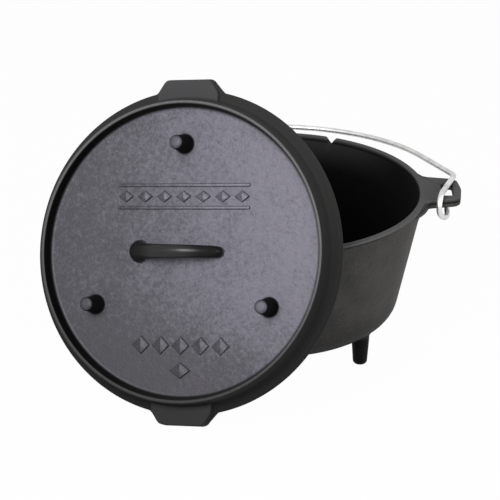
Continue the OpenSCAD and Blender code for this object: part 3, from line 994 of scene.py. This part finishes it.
def lid_reliefs():
    """The rails, and the lozenges in their rows."""
    half_l, half_w = RAIL_L / 2, RAIL_W / 2
    rail = [[sx * half_l, sy * half_w, RAIL_R] for sx, sy in ((-1, -1), (1, -1), (1, 1), (-1, 1))]
    pieces = [relief(f"lid_rail_{i + 1}", rail, (0, y)) for i, y in enumerate(RAILS_Y)]
    for row, (count, length, width, step, y) in enumerate(LOZENGE_ROWS):
        lozenge = [
            [-length / 2, 0, LOZENGE_END_R],
            [0, -width / 2, LOZENGE_SIDE_R],
            [length / 2, 0, LOZENGE_END_R],
            [0, width / 2, LOZENGE_SIDE_R],
        ]
        for i in range(count):
            middle = ((i - (count - 1) / 2) * step, y)
            pieces.append(relief(f"lid_lozenge_{row + 1}_{i + 1}", lozenge, middle))
    return pieces


def hook_radius():
    """Radius of a hook's turn: from the hinge to a top edge of the ear's bar, with the play and the wire."""
    side_x = EAR_X - EAR_BULGE
    taper = (EAR_ROOT_W - EAR_W) / 2 / (side_x - rim_x(EAR_ROOT_W / 2))
    bar_w = EAR_W / 2 + (side_x - (SLOT_X - SLOT_W / 2)) * taper - SLOT_L / 2
    return math.hypot(bar_w / 2, EAR_T) + HOOK_GAP + WIRE_R


HOOK_R = hook_radius()


def bail_arc(middle, radius, angles):
    """Places on an arc in the plane of the arch, and two directions across the wire there."""
    out = np.stack([np.cos(angles), np.sin(angles), 0 * angles], -1)
    at = np.array([middle[0], middle[1], HOOK_R]) + radius * out
    return at, -out, np.broadcast_to([0.0, 0.0, 1.0], out.shape)


def hook_line(angles):
    """A turn round the hinge line that bows in over the ear's bar, then spreads to the slot's middle."""
    bow = HOOK_R * math.tan(ARM_SLANT)
    front = HOOK_X - bow
    spread = (1 - np.cos(math.pi * np.clip((angles - math.pi) / HOOK_SPREAD, 0, 1))) / 2
    x = np.where(angles < math.pi, HOOK_X + bow * np.cos(angles), front + (SLOT_X - front) * spread)
    return np.stack([x, HOOK_R * np.cos(angles), HOOK_R * np.sin(angles)], -1)


def bail_hook(angles):
    """Places on a hook, and two directions across the wire there."""
    out = np.stack([0 * angles, np.cos(angles), np.sin(angles)], -1)
    along = unit(hook_line(angles + HOOK_NEAR) - hook_line(angles - HOOK_NEAR))
    return hook_line(angles), np.cross(along, out), out


def bail_line():
    """Half the wire, from the middle of the arch over a shoulder to the end of a hook, about the hinge."""
    past = EAR_BACK + SHOULDER_PAST
    shoulder = np.array([HOOK_X + past * math.tan(ARM_SLANT), past])
    crown_y = RIM_R + BAIL_GAP + WIRE_R - HINGE_Y
    arch_r = (shoulder[0] / math.tan(BAIL_SPLAY) - crown_y + shoulder[1]) / (1 / math.sin(BAIL_SPLAY) - 1)
    run = SHOULDER_R * math.tan((BAIL_SPLAY + ARM_SLANT) / 2)
    bend = shoulder - run * np.array([math.sin(BAIL_SPLAY), -math.cos(BAIL_SPLAY)])
    bend -= SHOULDER_R * np.array([math.cos(BAIL_SPLAY), math.sin(BAIL_SPLAY)])
    stretches = [
        bail_arc((0, crown_y - arch_r), arch_r, np.linspace(math.pi / 2, BAIL_SPLAY, ARCH_STEPS)),
        bail_arc(bend, SHOULDER_R, np.linspace(BAIL_SPLAY, -ARM_SLANT, SHOULDER_STEPS)),
        bail_hook(np.linspace(*HOOK_ENDS, HOOK_STEPS)),
    ]
    return [np.concatenate(parts) for parts in zip(*stretches)]


def bail_wire():
    """A round wire with domed ends along that line and its mirror image, laid back on the ears."""
    at, first, second = bail_line()
    dome = np.linspace(0, math.pi / 2, TIP_STEPS)[1:]
    tip = unit(at[-1] - at[-2])
    radius = np.concatenate([np.full(len(at), WIRE_R), WIRE_R * np.cos(dome)])
    at = np.vstack([at, at[-1] + TIP_L * np.sin(dome)[:, None] * tip])
    first, second = (np.vstack([v, np.repeat(v[-1:], len(dome), 0)]) for v in (first, second))
    t = circle(WIRE_SIDES)[None, :, None]
    ring = first[:, None] * np.cos(t) + second[:, None] * np.sin(t)
    half = at[:, None] + radius[:, None, None] * ring
    grid = np.concatenate([half[:0:-1] * [-1, 1, 1], half])
    clear = HOOK_R - WIRE_R - REST_GAP
    drop = math.asin(clear / math.hypot(EAR_BACK, EAR_T)) - math.atan(EAR_T / EAR_BACK)
    c, s = math.cos(drop), math.sin(drop)
    lay_back = np.array([[1, 0, 0], [0, c, s], [0, -s, c]])
    return skin("bail_wire", grid @ lay_back.T + [0, HINGE_Y, HINGE_Z])


def build_pot():
    """The pot's shell, ears and legs."""
    finish = pot_iron()
    feet = [np.array(mounts[name]["pos_m"]) / MM for name in ("foot_back", "foot_left", "foot_right")]
    pieces = [pot_shell(), pot_ear("pot_ear_right", 1), pot_ear("pot_ear_left", -1)]
    pieces += [pot_ear_web("pot_ear_web_right", 1), pot_ear_web("pot_ear_web_left", -1)]
    pieces += [pot_leg(f"pot_leg_{i + 1}", foot) for i, foot in enumerate(feet)]
    for piece in pieces:
        seat(piece, "pot", finish)


def build_lid():
    """The lid's dish, tabs, pegs, handle and reliefs."""
    finish = lid_iron()
    pieces = [lid_dish(), lid_tab("lid_tab_top", 1), lid_tab("lid_tab_bottom", -1), lid_handle()]
    pieces += [lid_tab_foot("lid_tab_foot_top", 1), lid_tab_foot("lid_tab_foot_bottom", -1)]
    pieces += [lid_peg(f"lid_peg_{i + 1}", middle) for i, middle in enumerate(PEG_PLACES)]
    pieces += lid_reliefs()
    for piece in pieces:
        seat(piece, "lid", finish)


def track(aim):
    """The turn that points a lamp's -Z along aim, with its X level."""
    back = -unit(aim)
    right = unit(np.cross([0, 0, 1.0], back))
    return Matrix(np.stack([right, np.cross(back, right), back], -1).tolist()).to_4x4()


def build_studio():
    """A pale floor, an even white surround, two soft lamps, and the camera of the photograph."""
    world = bpy.data.worlds.new("surround")
    bpy.context.scene.world = world
    finish = Finish(world)
    white = (1, 1, 1, 1)
    light = finish.add("ShaderNodeBackground", (), {"Color": white, "Strength": WORLD_LIGHT})
    backdrop = finish.add("ShaderNodeBackground", (), {"Color": white, "Strength": 1.0})
    shown = finish.add("ShaderNodeMixShader", (), {0: finish.white_in_view(), 1: light, 2: backdrop})
    finish.surface(shown, "World")

    finish = Finish(bpy.data.materials.new("pale_floor"))
    plain = finish.add("ShaderNodeBsdfDiffuse", (), {"Color": colour(FLOOR_TONE)})
    glow = finish.add("ShaderNodeEmission", (), {"Color": white, "Strength": 1.0})
    share = finish.white_in_view() * FLOOR_GLOW
    lit = finish.add("ShaderNodeMixShader", (), {0: share, 1: plain, 2: glow})
    span = FLOOR_SPAN * np.array([[[-1, -1, 0], [1, -1, 0]], [[-1, 1, 0], [1, 1, 0]]]) / MM
    floor = skin("floor", span, loop=(False, False))
    floor.data.materials.append(finish.surface(lit))

    for name, place, size, power in LAMPS:
        lamp = bpy.data.lights.new(name, "AREA")
        lamp.shape = "DISK"
        lamp.size = size
        lamp.energy = power
        holder = bpy.data.objects.new(name, lamp)
        aim = np.array(LAMP_AIM) - np.array(place)
        holder.matrix_world = Matrix.Translation(place) @ track(aim)
        bpy.context.scene.collection.objects.link(holder)

    lens = bpy.data.cameras.new("camera")
    lens.sensor_width = SENSOR
    lens.lens = LENS
    lens.clip_end = VIEW_DEPTH
    camera = bpy.data.objects.new("camera", lens)
    camera.location = CAMERA_AT
    camera.rotation_euler = (math.radians(90 - CAMERA_DOWN), 0, 0)
    bpy.context.scene.collection.objects.link(camera)
    bpy.context.scene.camera = camera
    bpy.context.scene.view_settings.view_transform = "Standard"


build_pot()
build_lid()
seat(bail_wire(), "bail", zinc_wire())
build_studio()
